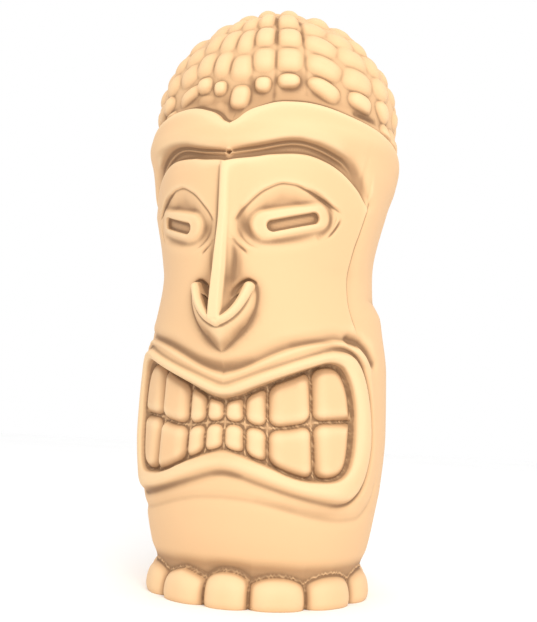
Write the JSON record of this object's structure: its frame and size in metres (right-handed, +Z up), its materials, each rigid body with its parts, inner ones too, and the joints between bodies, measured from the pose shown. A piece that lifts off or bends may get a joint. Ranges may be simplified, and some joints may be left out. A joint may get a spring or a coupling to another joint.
{
  "type": "tiki statue",
  "caption": "Column-shaped carved head with a knobbed crown, heavy brow, slotted ring eyes, long nose, wide toothed mouth and a foot of rounded toes; stands on its flat underside.",
  "frame": {"origin": "centre of the flat underside, on the column's upright axis", "axes": "+Z up; the face looks along -Y; +X is the statue's own left side"},
  "size_m": [0.1708, 0.1824, 0.393],
  "materials": {
    "cast_cream": "matte"
  },
  "bodies": {
    "root": {"tiki_statue": "cast_cream"}
  },
  "joints": []
}
